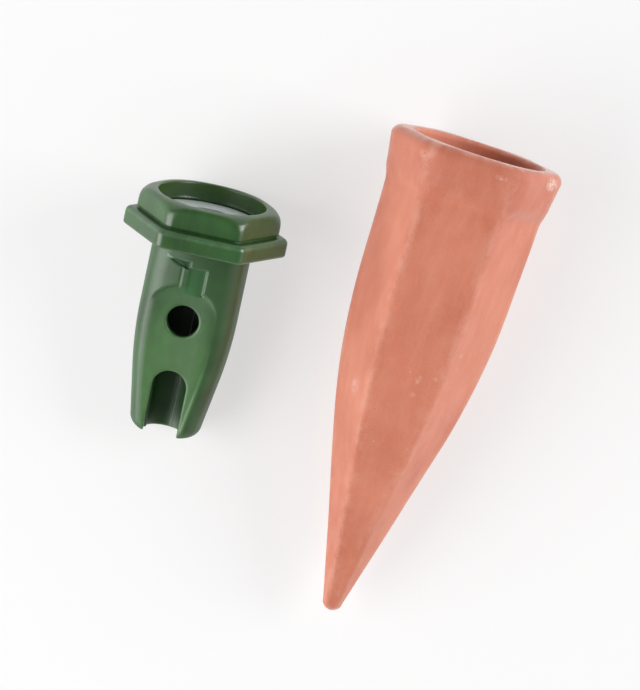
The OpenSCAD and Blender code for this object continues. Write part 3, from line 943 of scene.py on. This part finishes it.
def moulding_finish(material):
    """Flow lines over a deep green, and painted thin-wall glow, nook shade and edge highlights."""
    tree, shader = open_finish(material)
    place, (x, y, z) = upright_place(tree)
    edge, nook, tongue = mark(tree, "edge"), mark(tree, "nook"), mark(tree, "tongue")
    head, off_axis = ramp(z, *HEAD_ZONE), length(x, y)
    broad = ramp(cloud(tree, place, (9.0, 9.0, 12.0), 2.0), 0.35, 0.65)
    flow = ramp(cloud(tree, place, (1.1, 1.1, 22.0), 2.0), 0.42, 0.66)
    cloudy = ramp(cloud(tree, place, (3.0, 3.0, 4.5), 3.0), 0.46, 0.70)
    skin = cloud(tree, place, (0.30, 0.30, 0.30), 2.0, 0.6)
    socket_r, bore_r = ADAPTER["socket radius"], ADAPTER["bore top radius"]
    # Painted glow: a yellower socket lip, for light let through the thin wall.
    lip_glow = head * ramp(z, *LIP_GLOW_ZONE) * ramp(off_axis, socket_r + LIP_GLOW_WIDTH, socket_r)
    # Painted glow: a livelier green in the recess, most near the port, for light through the wall.
    thin_glow = tongue * (ramp(z, *THIN_GLOW_ZONE) * 0.45 + cloudy * 0.30 + 0.10)
    # Painted shade and glow: the notch's floor is a deeper, clearer green.
    notch_floor_shade_and_glow = ramp(y, *NOTCH_SHADE_GLOW_DEPTH) * y.below(0.0) \
        * (x - NOTCH_SHADE_GLOW_MIDDLE).size().below(NOTCH_SHADE_GLOW_HALF) \
        * ramp(z, *NOTCH_SHADE_GLOW_TOP) * ramp(z, *NOTCH_SHADE_GLOW_FOOT)
    # Painted highlight along the flange's upper edge.
    flange_edge_highlight = ramp((z - FLANGE_HIGHLIGHT_HEIGHT).size(), 0.9, 0.1) * off_axis.above(ADAPTER["tier flat"])
    in_bore = ramp(off_axis, bore_r + BORE_BLUR, bore_r - BORE_BLUR) * (1.0 - head)
    seam = ramp((x - SEAM_X).size(), 0.30, 0.12) * in_bore * y.above(0.0)
    colour = layered(tree, blend(tree, broad, GREEN_DEEP, GREEN_BODY), [
        (flow * head * 0.12, GREEN_THIN),
        # Painted glow at the socket's lip, with the head's own olive clouds.
        ((lip_glow + head * cloudy * 0.3).clamped() * 0.8, GREEN_OLIVE),
        # Painted glow of light let through the thin recess.
        (thin_glow.clamped(), GREEN_THIN),
        # Painted shade: the nooks are darkened.
        (nook * 0.35, GREEN_DEEP),
        # Painted highlight: the edges are laid paler, less so in the recess.
        (edge * (0.10 + cloudy * 0.25) * (1.0 - tongue * 0.6), GREEN_HIGHLIGHT),
        # Painted highlight along the notch's left side and arm.
        (mark(tree, "notch_highlight") * 0.85, GREEN_HIGHLIGHT),
        # Painted shade under the flange, with the glow of light through the thin floor.
        (notch_floor_shade_and_glow * 0.7, GREEN_CLEAR),
        # Painted highlight on the flange's upper edge.
        (flange_edge_highlight * (0.2 + cloudy * 0.2), GREEN_HIGHLIGHT),
        # Painted shade: the bore darkens nearly to black deep down.
        (in_bore * ramp(z, *BORE_SHADE_ZONE) * 0.85, GREEN_BORE_SHADE),
        # The seam's ridge is in the bump; its pale colour is a painted highlight.
        (seam * 0.5, GREEN_HIGHLIGHT),
    ])
    finished(tree, shader, colour, 0.42 - head * 0.14 + skin * 0.08 + nook * 0.10,
             skin * 0.5 + flow * head * 0.12 + seam * 2.0, 0.02, Specular_IOR_Level=0.8)


moulding_finish(green)
print("green nodes:", len(green.node_tree.nodes))

# %% [markdown]
# ### Pale rubber
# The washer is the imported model's own ring. It only needs the soft, slightly cloudy look of
# silicone rubber, with a fine skin. It has no upright place, so its patterns read its own
# coordinates.

# %% The washer
RUBBER_PALE = (0.740, 0.820, 0.800, 1)
RUBBER_DULL = (0.650, 0.740, 0.720, 1)


def rubber_finish(material):
    """Faint clouds and specks over a pale rubber."""
    tree, shader = open_finish(material)
    metres = node(tree, "ShaderNodeTexCoord").outputs["Object"]
    place = vector_math(tree, "SCALE", metres, Scale=1 / MM)
    cloudy = ramp(cloud(tree, place, (5.0, 5.0, 5.0), 3.0), 0.35, 0.65)
    skin = cloud(tree, place, (0.35, 0.35, 0.35), 2.0)
    colour = layered(tree, blend(tree, cloudy, RUBBER_DULL, RUBBER_PALE),
                     [(specks(tree, place, 2.2, 0.18, 0.3) * 0.4, RUBBER_DULL)])
    finished(tree, shader, colour, 0.42 + skin * 0.16, skin, 0.03)


rubber = bpy.data.materials.new("pale_rubber")
rubber_finish(rubber)
washer = frame["nodes"]["seal_washer"]
washer.data.materials.clear()
washer.data.materials.append(rubber)
print("rubber nodes:", len(rubber.node_tree.nodes))

# %% [markdown]
# ## Table, light and camera
# The photograph is a product shot on white. Two large soft boxes stand left and right, and the
# left one is stronger, so soft shadows fall to the right. The room is bright at the horizon and
# dim overhead, which keeps the top faces darker than the slanting ones. The table shows itself
# nearly white to the camera and in reflections, and keeps the shadows.

# %% The white table
TABLE = 6.0
WHITE_SHARE = 0.62
PAPER = (0.92, 0.915, 0.915, 1)
GLOW = (0.98, 0.98, 0.98, 1)


def seen_ray(tree):
    """1 for what the camera sees, straight or in a reflection, 0 for light on things."""
    path = node(tree, "ShaderNodeLightPath")
    camera, glossy, through = (Sum(tree, path.outputs[f"Is {ray} Ray"])
                               for ray in ("Camera", "Glossy", "Transmission"))
    return (camera + glossy + through).clamped()


def white_table():
    """A wide sheet of paper under the part. Part of what is seen of it is a plain white glow."""
    mesh = bpy.data.meshes.new("table")
    half = TABLE / 2
    corners = [(-half, -half, 0), (half, -half, 0), (half, half, 0), (-half, half, 0)]
    mesh.from_pydata(corners, [], [(0, 1, 2, 3)])
    table = bpy.data.objects.new("table", mesh)
    bpy.context.scene.collection.objects.link(table)
    white = bpy.data.materials.new("white_paper")
    tree, shader = open_finish(white)
    shader.inputs["Base Color"].default_value = PAPER
    shader.inputs["Roughness"].default_value = 0.9
    shader.inputs["Specular IOR Level"].default_value = 0.1
    glow = node(tree, "ShaderNodeEmission", Color=GLOW, Strength=1.0)
    mixed = node(tree, "ShaderNodeMixShader", _0=seen_ray(tree) * WHITE_SHARE,
                 _1=shader.outputs[0], _2=glow.outputs[0])
    tree.links.new(mixed.outputs[0], tree.nodes["Material Output"].inputs["Surface"])
    mesh.materials.append(white)


white_table()
print("table", TABLE, "m wide")

# %% Light
HORIZON = 1.0
ZENITH = 0.13
ZENITH_HEIGHT = 0.65
SEEN_SKY = 0.97
# Each soft box has a place in metres, a width in metres and a power in watts.
SOFT_BOXES = {
    "left": ((-0.90, -0.15, 0.60), 1.0, 13.5),
    "right": ((1.05, 0.06, 0.50), 0.7, 10.8),
}


def soft_box(name, place, size, watts):
    """A square lamp that faces the middle of the part."""
    lamp = bpy.data.lights.new(name, "AREA")
    lamp.shape = "SQUARE"
    lamp.size = size
    lamp.energy = watts
    made = bpy.data.objects.new(name, lamp)
    made.location = place
    made.rotation_euler = (-Vector(place)).to_track_quat("-Z", "Y").to_euler()
    made.visible_camera = False
    bpy.context.scene.collection.objects.link(made)


def white_room():
    """A sky that fades from the horizon up, and that the camera sees as nearly white."""
    world = bpy.data.worlds.new("white_room")
    bpy.context.scene.world = world
    world.use_nodes = True
    tree = world.node_tree
    camera = Sum(tree, node(tree, "ShaderNodeLightPath").outputs["Is Camera Ray"])
    direction = node(tree, "ShaderNodeTexCoord").outputs["Generated"]
    height = Sum(tree, node(tree, "ShaderNodeSeparateXYZ", Vector=direction).outputs["Z"])
    sky = HORIZON + ramp(height, 0.0, ZENITH_HEIGHT) * (ZENITH - HORIZON)
    background = tree.nodes["Background"]
    background.inputs["Color"].default_value = (1, 1, 1, 1)
    feed(tree, background.inputs["Strength"], sky + camera * (SEEN_SKY - sky))


white_room()
for side, (place, size, watts) in SOFT_BOXES.items():
    soft_box(side + "_softbox", place, size, watts)
print("soft boxes", len(SOFT_BOXES))

# %% Camera
PHOTO_LONG_SIDE = 690
SENSOR = 36.0
FOCAL_PIXELS = 6000.0
CAMERA_PLACE = Vector((25.67, 72.74, 1896.68)) * MM
CAMERA_PITCH = math.radians(-2.0)
CAMERA_YAW = math.radians(1.0)
FAR_CLIP = 10.0


def photo_camera():
    """A long lens far above the table, turned a little, as the photograph was taken."""
    data = bpy.data.cameras.new("photo_camera")
    data.sensor_width = SENSOR
    data.lens = FOCAL_PIXELS * SENSOR / PHOTO_LONG_SIDE
    data.clip_end = FAR_CLIP
    made = bpy.data.objects.new("photo_camera", data)
    made.location = CAMERA_PLACE
    made.rotation_euler = (CAMERA_PITCH, CAMERA_YAW, 0.0)
    bpy.context.scene.collection.objects.link(made)
    bpy.context.scene.camera = made
    return data


lens = photo_camera().lens
print("lens", round(lens, 1), "mm")
bpy.context.scene.view_settings.view_transform = "Standard"
